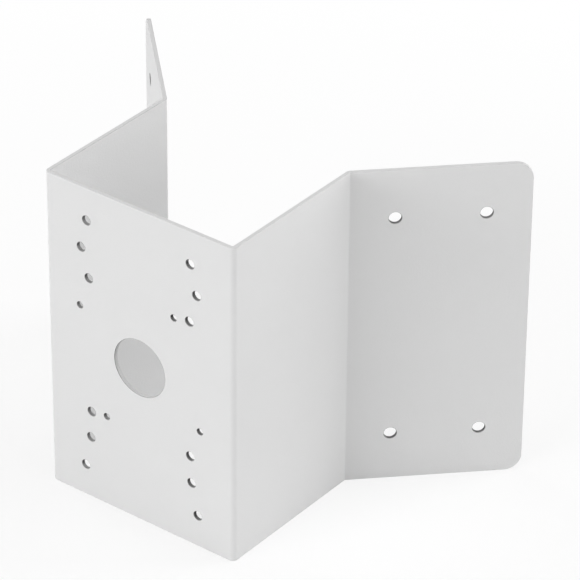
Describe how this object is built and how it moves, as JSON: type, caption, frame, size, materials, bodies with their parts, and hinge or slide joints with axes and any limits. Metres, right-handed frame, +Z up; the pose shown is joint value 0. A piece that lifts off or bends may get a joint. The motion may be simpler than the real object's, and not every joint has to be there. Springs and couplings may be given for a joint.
{
  "type": "camera corner mount bracket",
  "caption": "White folded sheet steel bracket that carries a surveillance camera on the outside corner of a building: drilled front plate, side webs and splayed wall flanges.",
  "frame": {"origin": "middle of the cable hole, on the front face of the front plate", "axes": "+Z up the building's corner, -Y straight out of the front plate, +X to the right of somebody who faces it"},
  "size_m": [0.3388, 0.2155, 0.25],
  "materials": {
    "powder_coat": "white satin powder coat on sheet steel"
  },
  "bodies": {
    "root": {"corner_bracket": "powder_coat"}
  },
  "joints": []
}
